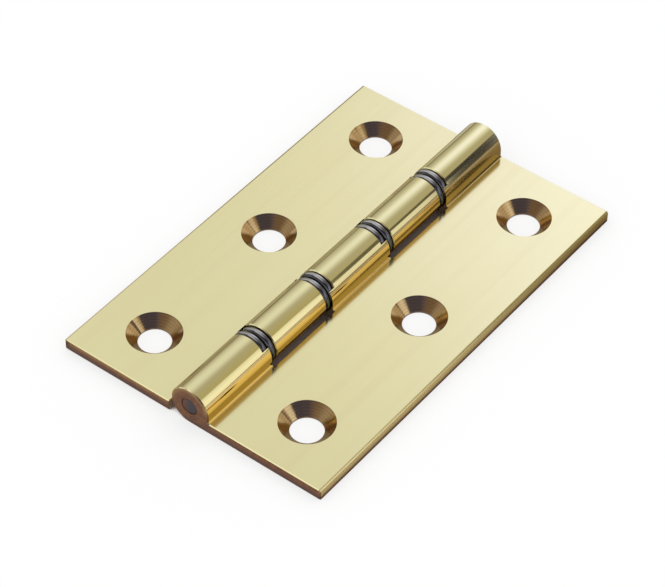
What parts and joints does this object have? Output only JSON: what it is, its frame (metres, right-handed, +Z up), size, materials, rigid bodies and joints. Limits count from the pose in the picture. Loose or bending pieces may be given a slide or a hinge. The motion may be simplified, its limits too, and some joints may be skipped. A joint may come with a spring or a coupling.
{
  "type": "washered butt hinge",
  "caption": "Polished brass butt hinge: flat countersunk leaves, interleaved knuckles on a flush steel pin and paired steel washers at the knuckle joints, for hanging a light door or lid.",
  "frame": {"origin": "on the plane of the leaf backs, under the middle of the pin", "axes": "+Y along the pin, +X across to the three-knuckle leaf, +Z up from the leaf backs, with the hinge open flat"},
  "size_m": [0.05, 0.076, 0.007],
  "materials": {
    "polished_brass": "polished, with fine lines along the leaf",
    "washer_steel": "dark self-coloured steel with rounded rims",
    "pin_steel": "dark drawn steel, cropped ends"
  },
  "bodies": {
    "fixed_leaf": {"three_knuckle_leaf": "polished_brass", "hinge_pin": "pin_steel", "washer_1": "washer_steel", "washer_4": "washer_steel", "washer_5": "washer_steel", "washer_8": "washer_steel"},
    "swinging_leaf": {"two_knuckle_leaf": "polished_brass", "washer_2": "washer_steel", "washer_3": "washer_steel", "washer_6": "washer_steel", "washer_7": "washer_steel"}
  },
  "joints": [
    {"name": "leaf_swing", "type": "hinge", "parent": "fixed_leaf", "child": "swinging_leaf", "pos_m": [0, 0, 0.0035], "axis": [0, 1, 0], "range_deg": [-90, 180]}
  ]
}
